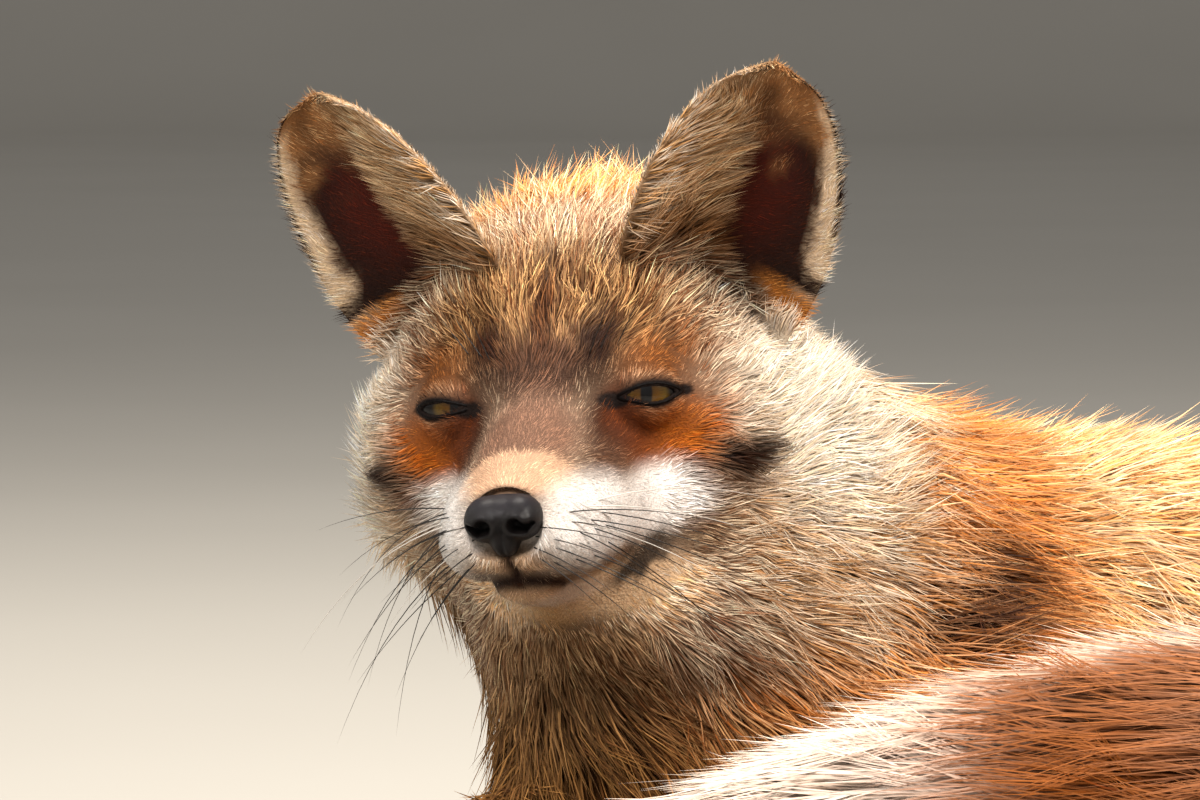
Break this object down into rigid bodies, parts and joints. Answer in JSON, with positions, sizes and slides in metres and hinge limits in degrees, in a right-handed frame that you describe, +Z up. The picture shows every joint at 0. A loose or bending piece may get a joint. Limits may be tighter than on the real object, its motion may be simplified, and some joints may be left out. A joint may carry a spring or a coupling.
{
  "type": "red fox, curled at rest, museum model",
  "caption": "Life-size red fox lying curled with its head raised and turned, pricked ears, half-closed eyes and its tail laid round in front.",
  "frame": {"origin": "on the floor, under the middle of the fox's outline box", "axes": "+Z up, +X along the longest side of the curl, from the head towards the rump, and the face looks towards -Y"},
  "size_m": [0.501, 0.4218, 0.2544],
  "materials": {
    "coat_face": "short dense fur, grizzled brown with cream tips",
    "coat_throat": "long soft cream fur",
    "coat_back": "thick russet fur with cream and dark guard hairs",
    "coat_tail": "long brush fur with dark guard hairs",
    "coat_tail_tip": "long white fur",
    "coat_ear": "short fur, black behind, cream fringe and dark brown cup in front",
    "coat_stocking": "short black fur",
    "nose_leather": "moist pebbled skin",
    "eye": "amber iris under a glossy cornea"
  },
  "bodies": {
    "root": {"head": "coat_face", "neck": "coat_throat", "chest": "coat_back", "ribs": "coat_back", "loin": "coat_back", "rump": "coat_back", "foreleg_left_upper": "coat_back", "foreleg_right_upper": "coat_back", "hind_leg_left_upper": "coat_back", "hind_leg_right_upper": "coat_back", "tail_base": "coat_tail", "tail_middle": "coat_tail", "tail_end": "coat_tail", "tail_tip": "coat_tail_tip", "ear_right": "coat_ear", "ear_left": "coat_ear", "foreleg_left_lower": "coat_stocking", "foreleg_left_paw": "coat_stocking", "foreleg_right_lower": "coat_stocking", "foreleg_right_paw": "coat_stocking", "hind_leg_left_lower": "coat_stocking", "hind_leg_left_paw": "coat_stocking", "hind_leg_right_lower": "coat_stocking", "hind_leg_right_paw": "coat_stocking", "nose": "nose_leather", "eye_right": "eye", "eye_left": "eye"}
  },
  "joints": []
}
